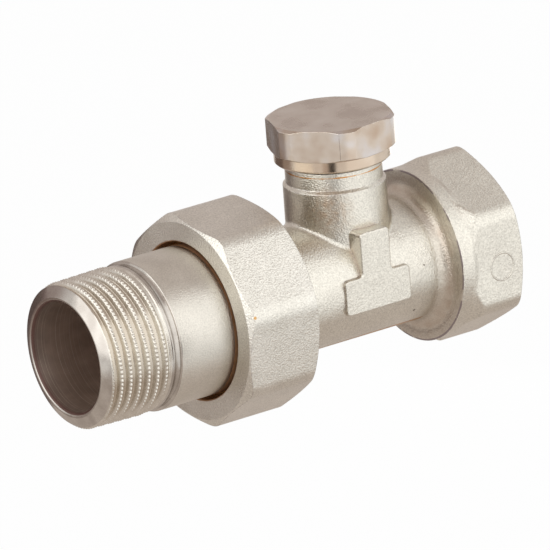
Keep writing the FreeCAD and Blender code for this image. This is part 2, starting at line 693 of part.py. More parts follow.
# Closing disc: swivels on the spindle's foot, so it doesn't rub on the seat
closing_disc = new_body("closing_disc")
foot_room = s["foot_r"] + s["foot_gap"]
foot_ceiling = s["foot_top"] + s["foot_gap"]
neck_room = s["foot_neck_r"] + s["foot_gap"]
spin(closing_disc, "disc_turning", "Revolution", "V_Axis", [[
    (s["screw_hole_r"], s["disc_low"]),
    (s["disc_r"], s["disc_low"]),
    (s["disc_r"], s["disc_mid"]),
    (s["boss_r"], s["disc_mid"]),
    (s["boss_r"], s["boss_top"]),
    (neck_room, s["boss_top"]),
    (neck_room, foot_ceiling),
    (foot_room, foot_ceiling),
    (foot_room, s["foot_z"] - s["foot_gap"]),
    (0, s["foot_z"] - s["foot_gap"]),
    (0, s["screw_hole_end"]),
    (s["screw_hole_r"], s["screw_hole_end"]),
]])
disc_seal = ring("disc_seal", s["seal_in_r"], s["seal_out_r"], s["seat_z"], s["disc_low"])
washer_low = s["seat_z"] - s["washer_thick"]
disc_washer = ring("disc_washer", s["screw_hole_r"], s["washer_r"], washer_low, s["seat_z"])
disc_screw = new_body("disc_screw")
head_low = washer_low - s["screw_head_len"]
spin(disc_screw, "screw_turning", "Revolution", "V_Axis", [[
    (0, head_low),
    (s["screw_head_r"], head_low),
    (s["screw_head_r"], washer_low),
    (s["screw_r"], washer_low),
    (s["screw_r"], s["screw_end_z"]),
    (0, s["screw_end_z"]),
]])
half = s["screw_slot"] * 0.5
wide = s["screw_head_r"] + 0.5
prism(disc_screw, "screw_slot", "XY_Plane", head_low,
      [(-wide, -half), (wide, -half), (wide, half), (-wide, half)],
      s["screw_head_len"] * 0.5, True, "Pocket")

# Cap: a hexagon turned to a disc at its corners, over a plain skirt
cap = new_body("cap")
prism(cap, "cap_hexagon", "XY_Plane", s["cap_head_z"],
      regular_corners(s["cap_af"], 6, 8.7), s["cap_top_z"] - s["cap_head_z"])
cap_over = s["cap_turned_r"] + 2.0
spin(cap, "cap_turning", "Groove", "V_Axis", [[
    (s["cap_face_r"], s["cap_top_z"] + 1.0),
    (s["cap_face_r"], s["cap_top_z"]),
    (s["cap_turned_r"], s["cap_top_z"] - s["cap_lead"]),
    (s["cap_turned_r"], s["cap_head_z"] + s["cap_lead"]),
    (s["cap_face_r"], s["cap_head_z"]),
    (s["cap_face_r"], s["cap_head_z"] - 1.0),
    (cap_over, s["cap_head_z"] - 1.0),
    (cap_over, s["cap_top_z"] + 1.0),
]])
spin(cap, "cap_skirt", "Revolution", "V_Axis", [[
    (0, s["cap_low_z"]),
    (s["cap_skirt_r"] - 0.25, s["cap_low_z"]),
    (s["cap_skirt_r"], s["cap_low_z"] + 0.25),
    (s["cap_skirt_r"], s["cap_head_z"] + 0.5),
    (0, s["cap_head_z"] + 0.5),
]])
cap_bore_r = s["cap_thread_r"] + s["thread_gap"]
spin(cap, "cap_bore", "Groove", "V_Axis", [[
    (0, s["cap_low_z"]),
    (cap_bore_r + 0.5, s["cap_low_z"]),
    (cap_bore_r, s["cap_low_z"] + 0.5),
    (cap_bore_r, s["cap_roof_z"]),
    (0, s["cap_roof_z"]),
]])
thread_rings(cap, "cap_thread", "V_Axis", s["cap_low_z"] + 0.5, s["neck_top_z"] - s["cap_low_z"] - 0.5,
             s["cap_pitch"], cap_bore_r, -s["cap_thread_deep"])
cap_gasket = ring("cap_gasket", s["cap_gasket_in"], s["cap_gasket_out"], s["neck_top_z"], s["cap_roof_z"])

doc.recompute()

NODES = [
    valve_body, union_nut, tailpiece, union_gasket, bonnet, bonnet_oring, travel_stop, spindle,
    spindle_oring_lower, spindle_oring_upper, closing_disc, disc_seal, disc_washer, disc_screw,
    cap, cap_gasket,
]

# Every feature is checked before anything is written
for item in doc.Objects:
    if "Invalid" in item.State or "Error" in item.State:
        raise ValueError("feature failed: " + item.Label)
for node in NODES:
    if node.Shape.isNull() or not node.Shape.isValid() or not node.Shape.Solids:
        raise ValueError("bad shape: " + node.Label)

os.makedirs("parts", exist_ok=True)
for node in NODES:
    node.Shape.exportStep("parts/" + node.Label + ".step")
    box = node.Shape.BoundBox
    print("%-22s solids %d volume %9.1f  x %7.2f %7.2f  y %7.2f %7.2f  z %7.2f %7.2f" % (
        node.Label, len(node.Shape.Solids), node.Shape.Volume,
        box.XMin, box.XMax, box.YMin, box.YMax, box.ZMin, box.ZMax))
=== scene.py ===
import math

import bpy
import numpy as np
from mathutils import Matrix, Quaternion, Vector


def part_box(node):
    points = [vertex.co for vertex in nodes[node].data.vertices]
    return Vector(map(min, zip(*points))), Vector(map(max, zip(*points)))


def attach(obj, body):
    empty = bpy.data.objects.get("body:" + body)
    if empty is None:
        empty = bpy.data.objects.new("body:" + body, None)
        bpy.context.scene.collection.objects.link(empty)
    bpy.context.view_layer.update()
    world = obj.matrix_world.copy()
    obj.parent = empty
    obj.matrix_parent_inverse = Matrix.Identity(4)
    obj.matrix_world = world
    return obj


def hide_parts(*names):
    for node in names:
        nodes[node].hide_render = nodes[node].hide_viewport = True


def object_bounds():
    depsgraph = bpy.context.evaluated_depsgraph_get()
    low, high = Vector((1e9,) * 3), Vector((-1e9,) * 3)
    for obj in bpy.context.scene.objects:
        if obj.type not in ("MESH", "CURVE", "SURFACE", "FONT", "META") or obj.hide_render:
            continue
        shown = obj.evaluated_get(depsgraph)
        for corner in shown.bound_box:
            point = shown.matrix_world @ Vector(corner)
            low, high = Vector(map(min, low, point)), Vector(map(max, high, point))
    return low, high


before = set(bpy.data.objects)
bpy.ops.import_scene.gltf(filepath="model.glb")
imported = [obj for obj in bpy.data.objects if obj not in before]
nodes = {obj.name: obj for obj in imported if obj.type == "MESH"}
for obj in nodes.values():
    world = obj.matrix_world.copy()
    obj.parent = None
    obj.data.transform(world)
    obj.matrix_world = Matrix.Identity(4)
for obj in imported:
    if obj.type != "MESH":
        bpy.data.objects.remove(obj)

cad_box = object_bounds()
MM = 0.001

# Places read from the frame: the pipe runs along X, the neck stands on its own axis
TAIL_LOW, TAIL_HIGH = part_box("tailpiece")
NUT_LOW, NUT_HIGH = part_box("union_nut")
BODY_LOW, BODY_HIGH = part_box("valve_body")
CAP_LOW, CAP_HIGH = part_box("cap")
NECK_X = (CAP_LOW.x + CAP_HIGH.x) / 2

# Tailpiece, from its end backwards
BORE_R = 9.6 * MM
LIP_R = 10.35 * MM
CONE_R = 12.25 * MM
CONE_LENGTH = 0.9 * MM
PIPE_R = 12.97 * MM
BAND_R = 12.45 * MM
BAND_END = 14.7 * MM
FLANGE_R = 14.4 * MM
FLANGE_LENGTH = 2.5 * MM
LEAD = 0.4 * MM
CHAMFER = 0.1 * MM

# The finishes of its faces, in the order of its materials
SATIN, BRIGHT, THREAD, BORE, BRASS, GAP = range(6)

# Its thread: three quarter inch pipe thread, 14 turns to the inch, with a toothed crest
PIPE_PITCH = 1.814 * MM
FIRST_CREST = 1.86 * MM
CREST_FRONT_R = 12.58 * MM
CREST_BACK_R = 12.84 * MM
THREAD_DEPTH = 0.95 * MM
THREAD_END = 13.1 * MM
THREAD_COLUMNS = 612
ROWS_PER_TURN = 20
LEAD_IN_SLOPE = 0.9
TEETH_PER_TURN = 102.37
TOOTH_DEPTH = 0.26 * MM
RUN_OUT_R = 12.3 * MM
RUN_OUT_RIPPLE = 0.12 * MM
BEAD_ROOT_R = 12.36 * MM
BEAD_R = 12.52 * MM
BEAD_BACK_R = 12.40 * MM

# Its profile, in parts of a pitch from the crest: the flat crest, the end of the teeth, the root
CREST_END = 0.03
TOOTH_END = 0.15
ROOT_START = 0.37

# Where it grows faint and where it runs out, in parts of its length
FAINT_START = 0.8
RUN_OUT_START = 0.86
RUN_OUT_END = 0.985

# The socket's collar
COLLAR_X = BODY_HIGH.x - 13.1 * MM
COLLAR_R = 15.1 * MM

# The socket's hexagon: the turned cone starts inside the collar and grows out of it
SOCKET_AF = 29.4 * MM
SOCKET_CORNER = 3.4 * MM
SOCKET_FACE_R = 14.55 * MM
SOCKET_TURNED_R = 16.7 * MM
HEX_START = COLLAR_X + 1.7 * MM
HEX_CONE = 3.1 * MM

# The body's three threads: the union's, the socket's and the neck's
UNION_PITCH = 1.5 * MM
UNION_DEPTH = 0.75 * MM
UNION_FACE = BODY_LOW.x
UNION_THREAD_R = 14.5 * MM
UNION_THREAD_END = UNION_FACE + 6.6 * MM
UNION_LEAD = 0.8 * MM
SOCKET_END = BODY_HIGH.x
SOCKET_THREAD_R = 12.06 * MM
SOCKET_THREAD_DEPTH = 0.88 * MM
SOCKET_LEAD = 0.9 * MM
SOCKET_BACK = SOCKET_END - 11.0 * MM
CAP_PITCH = 1.0 * MM
NECK_TOP = BODY_HIGH.z
NECK_SHOULDER = 20.5 * MM
NECK_THREAD_R = 7.75 * MM
NECK_THREAD_DEPTH = 0.5 * MM
NECK_LEAD = 0.6 * MM

# Radii that tell the body's inner faces from its outer ones
COLLAR_FACE_R = 13.2 * MM
SOCKET_WALL_R = 13.3 * MM
WATERWAY_R = 9.1 * MM
NECK_WALL_R = 8.0 * MM
NECK_BORE_R = 6.6 * MM

# Union nut
NUT_HOLE_R = 13.75 * MM
NUT_THREAD_R = 14.55 * MM
NUT_LEAD = 0.7 * MM
NUT_WEB_END = NUT_LOW.x + 3.3 * MM
NUT_BORE_R = 14.3 * MM

# Cap
CAP_HEAD = 23.1 * MM
CAP_INSIDE_R = 8.4 * MM

# The slack within which a face counts as lying in a plane
TINY = 0.02 * MM


# Shapes


def smooth_step(low, high, value):
    """0 under low, 1 over high, with a soft change between."""
    t = np.clip((value - low) / (high - low), 0.0, 1.0)
    return t * t * (3.0 - 2.0 * t)


def mesh_object(name, points, faces, finishes=None, sharp_degrees=35.0):
    """A mesh piece with smooth shading and sharp edges where it bends hard.

    finishes gives each face's place in the list of materials.
    """
    mesh = bpy.data.meshes.new(name)
    mesh.from_pydata(np.asarray(points).tolist(), [], [list(face) for face in faces])
    mesh.update()
    mesh.shade_smooth()
    mesh.set_sharp_from_angle(angle=math.radians(sharp_degrees))
    if finishes is not None:
        mesh.polygons.foreach_set("material_index", np.asarray(finishes, dtype=np.int32))
    piece = bpy.data.objects.new(name, mesh)
    bpy.context.scene.collection.objects.link(piece)
    return piece


def ring_rows(stations, radii, axis):
    """Points of rows of rings: one station along the axis and one radius for each column."""
    columns = radii.shape[1]
    turn = np.arange(columns) * (2 * math.pi / columns)
    across = radii * np.cos(turn)
    beside = radii * np.sin(turn)
    along = np.broadcast_to(stations.reshape(-1, 1), radii.shape)
    if axis == "x":
        return np.stack([along, across, beside], axis=-1)
    return np.stack([across + NECK_X, beside, along], axis=-1)


def ring_faces(rows, columns, closed=False):
    """Quads between the rings, outward when the rows run towards the axis's lower end."""
    row = np.arange(rows if closed else rows - 1).reshape(-1, 1)
    column = np.arange(columns).reshape(1, -1)
    following_row = (row + 1) % rows
    following = (column + 1) % columns
    corners = [row * columns + column, following_row * columns + column,
               following_row * columns + following, row * columns + following]
    return np.stack(np.broadcast_arrays(*corners), axis=-1).reshape(-1, 4)


def thread_phase(stations, columns, pitch, start):
    """Turns counted along the thread, and the part of a pitch from the nearest crest."""
    turn = np.arange(columns) / columns
    along = (stations.reshape(-1, 1) - start) / pitch - turn
    crest = np.round(along)
    return crest + turn, np.abs(along - crest)


def toothed_thread(stations, start, end):
    """Radii of the tailpiece's thread, which runs out into the turned band over its last turn."""
    first_crest = TAIL_LOW.x + FIRST_CREST
    turns, phase = thread_phase(stations, THREAD_COLUMNS, PIPE_PITCH, first_crest)
    place = ((stations - start) / (end - start)).reshape(-1, 1)
    crest_r = CREST_FRONT_R + (CREST_BACK_R - CREST_FRONT_R) * place
    drop = THREAD_DEPTH * smooth_step(CREST_END, ROOT_START, phase)
    crest_part = 1.0 - smooth_step(CREST_END, TOOTH_END, phase)
    tooth = (0.5 - 0.5 * np.cos(2 * math.pi * TEETH_PER_TURN * turns)) ** 1.5
    # Two slow waves leave some teeth faint near the band
    patchy = np.clip(1.25 + 0.6 * np.sin(turns * 61.0) + 0.5 * np.sin(turns * 23.0), 0.0, 1.0)
    tooth = tooth * np.where(place > FAINT_START, patchy, 1.0)
    threaded = crest_r - drop - TOOTH_DEPTH * tooth * crest_part
    plain = RUN_OUT_R + RUN_OUT_RIPPLE * np.sin(place * 90.0)
    run_out = 1.0 - smooth_step(RUN_OUT_START, RUN_OUT_END, place)
    cone = CONE_R + (stations.reshape(-1, 1) - start) * LEAD_IN_SLOPE
    return np.minimum(plain + (threaded - plain) * run_out, cone)


def tailpiece_mesh():
    """The turned tailpiece with its toothed pipe thread, as rings from the bore round to the bore."""
    end = TAIL_LOW.x
    back = TAIL_HIGH.x
    flange_front = back - FLANGE_LENGTH
    thread_start = end + CONE_LENGTH
    thread_end = end + THREAD_END
    band_end = end + BAND_END
    threaded = np.arange(thread_start, thread_end, PIPE_PITCH / ROWS_PER_TURN)
    lip = [
        (end + 8 * MM, BORE_R, BORE),
        (end + LEAD, BORE_R, BORE),
        (end + CHAMFER, LIP_R - 0.42 * MM, BRIGHT),
        (end, LIP_R - 0.2 * MM, BRIGHT),
        (end, LIP_R, BRIGHT),
        (end + 0.06 * MM, LIP_R + 0.12 * MM, BRIGHT),
        (thread_start - 0.05 * MM, CONE_R - 0.06 * MM, BRIGHT),
    ]
    band_and_flange = [
        (thread_end, BEAD_ROOT_R, BRIGHT),
        (thread_end + 0.18 * MM, BEAD_R, BRIGHT),
        (thread_end + 0.42 * MM, BEAD_R, BRIGHT),
        (thread_end + 0.55 * MM, BEAD_BACK_R, BRIGHT),
        (band_end - 0.35 * MM, BAND_R, BRIGHT),
        (band_end - 0.12 * MM, BAND_R + 0.05 * MM, BRIGHT),
        (band_end, PIPE_R - CHAMFER, BRIGHT),
        (band_end + CHAMFER, PIPE_R, SATIN),
        # Inside the nut's hole: a painted reflection of the hole's brass wall
        (NUT_LOW.x + 0.05 * MM, PIPE_R, GAP),
        (flange_front, PIPE_R, BRASS),
        (flange_front, FLANGE_R - CHAMFER, BRASS),
        (flange_front + CHAMFER, FLANGE_R, BRASS),
        (back - CHAMFER, FLANGE_R, BRASS),
        (back, FLANGE_R - CHAMFER, BRASS),
        (back, BORE_R + LEAD, BRASS),
        (back - LEAD, BORE_R, BORE),
    ]
    rows = [(x, np.full(THREAD_COLUMNS, r), finish) for x, r, finish in lip]
    radii = toothed_thread(threaded, thread_start, thread_end)
    rows += [(x, r, THREAD) for x, r in zip(threaded, radii)]
    rows += [(x, np.full(THREAD_COLUMNS, r), finish) for x, r, finish in band_and_flange]
    stations = np.array([row[0] for row in rows])
    table = np.stack([row[1] for row in rows])
    finishes = np.repeat([row[2] for row in rows], THREAD_COLUMNS)
    points = ring_rows(stations, table, "x").reshape(-1, 3)
    faces = ring_faces(len(rows), THREAD_COLUMNS, closed=True)[:, ::-1]
    return mesh_object("tailpiece_turned", points, faces, finishes, sharp_degrees=50.0)


def thread_sleeve(name, axis, low, high, crest_r, root_r, pitch, outside, ends):
    """A cut thread between two places, with its crests on the solid's own face.

    ends gives the radius at the lead-in of the low and the high end, or None.
    """
    columns = 180
    rows_per_turn = 10
    count = int(round((high - low) / pitch * rows_per_turn)) + 1
    stations = np.linspace(low, high, count)
    phase = thread_phase(stations, columns, pitch, low)[1]
    radii = crest_r + (root_r - crest_r) * smooth_step(0.10, 0.46, phase)
    for place, r in zip((low, high), ends):
        if r is None:
            continue
        away = np.abs(stations - place).reshape(-1, 1)
        cone = r + away if outside else r - away
        radii = np.minimum(radii, cone) if outside else np.maximum(radii, cone)
    points = ring_rows(stations, radii, axis).reshape(-1, 3)
    faces = ring_faces(count, columns)
    if outside:
        faces = faces[:, ::-1]
    return mesh_object(name, points, faces, sharp_degrees=80.0)


def soft_min(a, b, k):
    """The smaller of two lengths, with a round of about k where they meet."""
    h = np.clip(1.0 - np.abs(a - b) / k, 0.0, 1.0)
    return np.minimum(a, b) - h * h * k / 4


def soft_max(a, b, k):
    """The larger of two lengths, with a hollow of about k where they meet."""
    return -soft_min(-a, -b, k)


def socket_surface():
    """Collar and hexagon as one surface: the turned cones run out into the forged flats."""
    columns = 720
    row_step = 0.16 * MM
    band_drop = 0.8 * MM
    rear_chamfer = 1.1 * MM
    end = SOCKET_END
    turn = np.arange(columns) * (2 * math.pi / columns)
    # The hexagon's outline: flats, and round corners between them
    off_flat = np.abs((turn + math.pi / 6) % (math.pi / 3) - math.pi / 6)
    off_corner = math.pi / 6 - off_flat
    centre = (SOCKET_AF / 2 - SOCKET_CORNER) / math.cos(math.pi / 6)
    inside = np.clip(SOCKET_CORNER ** 2 - (centre * np.sin(off_corner)) ** 2, 0.0, None)
    corner = centre * np.cos(off_corner) + np.sqrt(inside)
    tangent = math.atan2(centre / 2, SOCKET_AF / 2)
    hexagon = np.where(off_flat > tangent, corner, SOCKET_AF / 2 / np.cos(off_flat))
    # The turned shapes along the axis, which cut it down
    x = np.arange(COLLAR_X + 0.25 * MM, end - TINY, row_step)
    along = x.reshape(-1, 1)
    rise = SOCKET_TURNED_R - SOCKET_FACE_R
    slope = rise / HEX_CONE
    grown = soft_min(hexagon, SOCKET_FACE_R + (along - HEX_START) * slope, 0.16 * MM)
    band = COLLAR_R - band_drop * smooth_step(HEX_START + 0.7 * MM, HEX_START + 2.6 * MM, along)
    radii = soft_max(grown, band, 0.3 * MM)
    closing = SOCKET_FACE_R + (end - along) * rise / rear_chamfer
    radii = soft_min(radii, closing, 0.2 * MM)
    front = [
        (COLLAR_X, COLLAR_R - 1.86 * MM),
        (COLLAR_X, COLLAR_R - 0.2 * MM),
        (COLLAR_X + 0.05 * MM, COLLAR_R - 0.06 * MM),
        (COLLAR_X + 0.14 * MM, COLLAR_R),
    ]
    rear = [(end, SOCKET_FACE_R - 0.05 * MM), (end, SOCKET_THREAD_R + SOCKET_LEAD)]
    stations = np.concatenate([[place for place, r in front], x, [place for place, r in rear]])
    rings = [np.full((1, columns), r) for place, r in front]
    rings += [radii]
    rings += [np.full((1, columns), r) for place, r in rear]
    table = np.vstack(rings)
    finishes = np.repeat((stations[:-1] > end - TINY).astype(int), columns)
    points = ring_rows(stations, table, "x").reshape(-1, 3)
    faces = ring_faces(len(stations), columns)[:, ::-1]
    return mesh_object("socket_surface", points, faces, finishes, sharp_degrees=40.0)


def face_places(mesh):
    """The centre and the normal of each face."""
    count = len(mesh.polygons)
    centre = np.zeros(count * 3)
    normal = np.zeros(count * 3)
    mesh.polygons.foreach_get("center", centre)
    mesh.polygons.foreach_get("normal", normal)
    return centre.reshape(-1, 3), normal.reshape(-1, 3)


def dressed_copy(node, name, leave_out):
    """A node's own faces without those that a cut thread takes the place of."""
    source = nodes[node].data
    dropped = leave_out(*face_places(source))
    used = {}
    faces = []
    normals = []
    for polygon in source.polygons:
        if dropped[polygon.index]:
            continue
        faces.append([used.setdefault(vertex, len(used)) for vertex in polygon.vertices])
        normals += [source.corner_normals[loop].vector[:] for loop in polygon.loop_indices]
    mesh = bpy.data.meshes.new(name)
    mesh.from_pydata([source.vertices[vertex].co[:] for vertex in used], [], faces)
    mesh.update()
    mesh.shade_smooth()
    mesh.normals_split_custom_set(normals)
    piece = bpy.data.objects.new(name, mesh)
    bpy.context.scene.collection.objects.link(piece)
    return piece


def finish_faces(piece, materials, sort):
    """Gives a piece its materials, sorting each face by its centre and its normal."""
    mesh = piece.data
    mesh.materials.clear()
    for material in materials:
        mesh.materials.append(material)
    finishes = sort(*face_places(mesh))
    mesh.polygons.foreach_set("material_index", finishes.astype(np.int32))


# Material tools


def linear(colour):
    """A colour written as sRGB hex, as linear values."""
    parts = [int(colour[i:i + 2], 16) / 255 for i in (1, 3, 5)]
    return tuple(p / 12.92 if p <= 0.04045 else ((p + 0.055) / 1.055) ** 2.4 for p in parts) + (1.0,)


def add(tree, kind, inputs=(), stops=(), **settings):
    """Adds a node with its settings, its inputs and, for a ramp, its stops.

    A dict names the inputs, and a tuple gives them in the node's own order. For MapRange that is the
    value, the range it comes from and the range it goes to. A node stands for its first output.
    """
    node = tree.nodes.new("ShaderNode" + kind)
    for key, value in settings.items():
        setattr(node, key, value)
    for key, value in inputs.items() if isinstance(inputs, dict) else enumerate(inputs):
        if isinstance(value, bpy.types.Node):
            value = value.outputs[0]
        if isinstance(value, bpy.types.NodeSocket):
            tree.links.new(value, node.inputs[key])
        else:
            node.inputs[key].default_value = value
    for index, (position, colour) in enumerate(stops):
        points = node.color_ramp.elements
        point = points[index] if index < len(points) else points.new(position)
        point.position = position
        point.color = linear(colour)
    return node


def new_material(name):
    """An empty node material."""
    material = bpy.data.materials.new(name)
    material.use_nodes = True
    material.node_tree.nodes.clear()
    return material, material.node_tree


def surface(tree, metallic, colour, roughness, normal):
    """Joins a surface to the material's output. A bare or plated metal is metallic 1."""
    inputs = {"Metallic": metallic, "Base Color": colour, "Roughness": roughness, "Normal": normal}
    add(tree, "OutputMaterial", {"Surface": add(tree, "BsdfPrincipled", inputs)})


def stained(tree, colour, mask, stain):
    """Lays a second colour over the first where the mask is 1."""
    # Inputs 6 and 7 are the mix node's two colours, and output 2 is the mixed one
    inputs = {"Factor": mask, 6: colour, 7: linear(stain)}
    return add(tree, "Mix", inputs, data_type="RGBA").outputs[2]


def near(tree, value, middle, half_width):
    """1 where a length is within half_width of the middle."""
    away = add(tree, "Math", (value, middle), operation="SUBTRACT")
    away = add(tree, "Math", (away,), operation="ABSOLUTE")
    return add(tree, "Math", (away, half_width), operation="LESS_THAN")


def spot(tree, place, point, radius):
    """1 within a radius of a point on the surface."""
    away = add(tree, "VectorMath", (place, point), operation="DISTANCE").outputs["Value"]
    return add(tree, "Math", (away, radius), operation="LESS_THAN")


def pipe_distance(tree, place):
    """How far a point lies from the pipe's axis."""
    split = add(tree, "SeparateXYZ", (place,)).outputs
    beside = add(tree, "CombineXYZ", {"Y": split["Y"], "Z": split["Z"]})
    return add(tree, "VectorMath", (beside,), operation="LENGTH").outputs["Value"]


def neck_distance(tree, place):
    """How far a point lies from the neck's axis."""
    split = add(tree, "SeparateXYZ", (place,)).outputs
    offset = add(tree, "Math", (split["X"], NECK_X), operation="SUBTRACT")
    beside = add(tree, "CombineXYZ", {"X": offset, "Y": split["Y"]})
    return add(tree, "VectorMath", (beside,), operation="LENGTH").outputs["Value"]


def lathe_lines(tree, place, axis, spacing):
    """Fine lines that a lathe's tool leaves: they run round the axis on walls and faces alike.

    The real feed is 0.05 to 0.2 mm a turn. A wider spacing is drawn coarser, so that it shows.
    """
    distance = pipe_distance if axis == "X" else neck_distance
    along = add(tree, "SeparateXYZ", (place,)).outputs[axis]
    along = add(tree, "Math", (along, distance(tree, place)), operation="ADD")
    inputs = {"W": along, "Scale": 1 / spacing, "Detail": 3.0, "Roughness": 0.6}
    return add(tree, "TexNoise", inputs, noise_dimensions="1D")


# Materials

# Where small marks are
RIM_LINE_Z = 19.75 * MM
# Middle of the painted warm reflection of the nut, low on the neck
NUT_REFLECTION_POINT = (NECK_X - 6.5 * MM, -6.5 * MM, 14.0 * MM)
BARREL_PITS = (
    ((-17.1 * MM, -10.7 * MM, 1.7 * MM), 0.16 * MM),
    ((-18.5 * MM, -8.75 * MM, -6.4 * MM), 0.26 * MM),
)
NUT_SPECK = (-57.8 * MM, -18.0 * MM, 4.1 * MM)


def rim_line_and_collar_shade(tree, place, colour):
    """An orange line under the cap's rim, and at the collar a painted shade on its flank and a broken dark
    line.
    """
    split = add(tree, "SeparateXYZ", (place,)).outputs
    patch = add(tree, "TexNoise", {"Vector": place, "Scale": 1 / (2.2 * MM), "Detail": 2.0})
    wide = add(tree, "MapRange", (patch, 0.3, 0.7, 0.02 * MM, 0.16 * MM))
    # An orange-brown broken line round the neck under the cap's rim
    colour = stained(tree, colour, near(tree, split["Z"], RIM_LINE_Z, wide), "#C8935C")
    # Painted shade: a darker warm brown on the flank just before the collar's face
    rising = add(tree, "MapRange", (split["X"], COLLAR_X - 3.2 * MM, COLLAR_X - 0.6 * MM, 0.0, 1.0))
    ending = add(tree, "MapRange", (split["X"], COLLAR_X - 0.1 * MM, COLLAR_X + 0.1 * MM, 1.0, 0.0))
    mottle = add(tree, "MapRange", (patch, 0.3, 0.7, 0.35, 0.75))
    flank = add(tree, "Math", (rising, ending), operation="MULTIPLY")
    flank = add(tree, "Math", (flank, mottle), operation="MULTIPLY")
    colour = stained(tree, colour, flank, "#B3A291")
    reach = pipe_distance(tree, place)
    rim = add(tree, "Math", (reach, COLLAR_R - 0.35 * MM), operation="GREATER_THAN")
    narrow = add(tree, "MapRange", (patch, 0.4, 0.62, 0.0, 0.1 * MM))
    edge = near(tree, split["X"], COLLAR_X + TINY, narrow)
    line = add(tree, "Math", (rim, edge), operation="MULTIPLY")
    return stained(tree, colour, line, "#9A9090")


def recess_shade(tree, colour):
    """Painted shade: a brown darkening in hollows and inner corners, drawn from ambient occlusion."""
    hollow = add(tree, "AmbientOcclusion", {"Distance": 3.2 * MM}, samples=8).outputs["AO"]
    brown = add(tree, "MapRange", (hollow, 0.2, 0.72, 0.8, 0.0))
    return stained(tree, colour, brown, "#A98B71")


def edge_wear_and_highlight(tree, place, rounded):
    """Broken thin lines along the outer edges: dark wear lines on the forgings, painted highlights on the
    cap.
    """
    flat = add(tree, "NewGeometry").outputs["Normal"]
    alike = add(tree, "VectorMath", (flat, rounded), operation="DOT_PRODUCT").outputs["Value"]
    edge = add(tree, "MapRange", (alike, 0.995, 0.96, 0.0, 1.0))
    flecks = add(tree, "TexNoise", {"Vector": place, "Scale": 1 / (0.8 * MM), "Detail": 2.0})
    broken = add(tree, "MapRange", (flecks, 0.45, 0.6, 0.0, 0.6))
    return add(tree, "Math", (edge, broken), operation="MULTIPLY")


def blasted_nickel(name, low, high, depth, marks):
    """Forged brass, grit blasted and nickel plated: a warm silver with a fine pebbled sparkle."""
    material, tree = new_material(name)
    place = add(tree, "TexCoord").outputs["Object"]
    # Blasting leaves dents of 0.1 to 0.3 mm, drawn at the coarse end so that they show
    pebbles = add(tree, "TexNoise", {"Vector": place, "Scale": 1 / (0.28 * MM), "Detail": 1.0})
    waves = add(tree, "TexNoise", {"Vector": place, "Scale": 1 / (2.2 * MM), "Detail": 1.0})
    clouds = add(tree, "TexNoise", {"Vector": place, "Scale": 1 / (6 * MM), "Detail": 3.0})
    shade = add(tree, "MapRange", (pebbles, 0.3, 0.7, 0.82, 1.08))
    colour = add(tree, "ValToRGB", (clouds,), [(0.3, low), (0.7, high)])
    colour = add(tree, "VectorMath", {0: colour, "Scale": shade}, operation="SCALE")
    # Painted brown shade in hollows and inner corners, then the part's own marks
    colour = marks(tree, place, recess_shade(tree, colour))
    rounded = add(tree, "Bevel", {"Radius": 0.22 * MM}, samples=6)
    colour = stained(tree, colour, edge_wear_and_highlight(tree, place, rounded), "#8C8184")
    roughness = add(tree, "MapRange", (clouds, 0.3, 0.7, 0.27, 0.34))
    normal = add(tree, "Bump", {"Height": waves, "Distance": 0.04 * MM, "Normal": rounded})
    normal = add(tree, "Bump", {"Height": pebbles, "Distance": depth, "Normal": normal})
    surface(tree, 1.0, colour, roughness, normal)
    return material


def body_marks(tree, place, colour):
    """The rim line and collar marks, a painted warm reflection of the nut low on the neck, and two small
    pits in the barrel.
    """
    colour = rim_line_and_collar_shade(tree, place, colour)
    # Painted reflection: a warm brown patch where the nut is reflected low on the neck
    away = add(tree, "VectorMath", (place, NUT_REFLECTION_POINT), operation="DISTANCE").outputs["Value"]
    fading = add(tree, "MapRange", (away, 1.5 * MM, 5.0 * MM, 0.7, 0.0))
    patch = add(tree, "TexNoise", {"Vector": place, "Scale": 1 / (0.9 * MM), "Detail": 2.0})
    mottle = add(tree, "MapRange", (patch, 0.35, 0.65, 0.25, 1.0))
    nut_reflection = add(tree, "Math", (fading, mottle), operation="MULTIPLY")
    colour = stained(tree, colour, nut_reflection, "#B89E84")
    for point, radius in BARREL_PITS:
        colour = stained(tree, colour, spot(tree, place, point, radius), "#7D756C")
    return colour


def nut_marks(tree, place, colour):
    """A speck of bare brass where a corner of the nut was knocked."""
    return stained(tree, colour, spot(tree, place, NUT_SPECK, 0.28 * MM), "#CBA06C")


def satin_nickel():
    """The tailpiece's plain length: turned, then blasted fine, so it is smoother than the forgings."""
    material, tree = new_material("satin_nickel")
    place = add(tree, "TexCoord").outputs["Object"]
    fine = add(tree, "TexNoise", {"Vector": place, "Scale": 1 / (0.24 * MM), "Detail": 1.0})
    clouds = add(tree, "TexNoise", {"Vector": place, "Scale": 1 / (5 * MM), "Detail": 2.0})
    lines = lathe_lines(tree, place, "X", 0.35 * MM)
    colour = add(tree, "ValToRGB", (clouds,), [(0.3, "#CFCAC0"), (0.7, "#D9D4CA")])
    shade = add(tree, "MapRange", (fine, 0.25, 0.75, 0.84, 1.06))
    colour = add(tree, "VectorMath", {0: colour, "Scale": shade}, operation="SCALE")
    roughness = add(tree, "MapRange", (clouds, 0.3, 0.7, 0.3, 0.37))
    rounded = add(tree, "Bevel", {"Radius": 0.15 * MM}, samples=6)
    normal = add(tree, "Bump", {"Height": fine, "Distance": 0.05 * MM, "Normal": rounded})
    normal = add(tree, "Bump", {"Height": lines, "Distance": 0.004 * MM, "Normal": normal})
    surface(tree, 1.0, colour, roughness, normal)
    return material


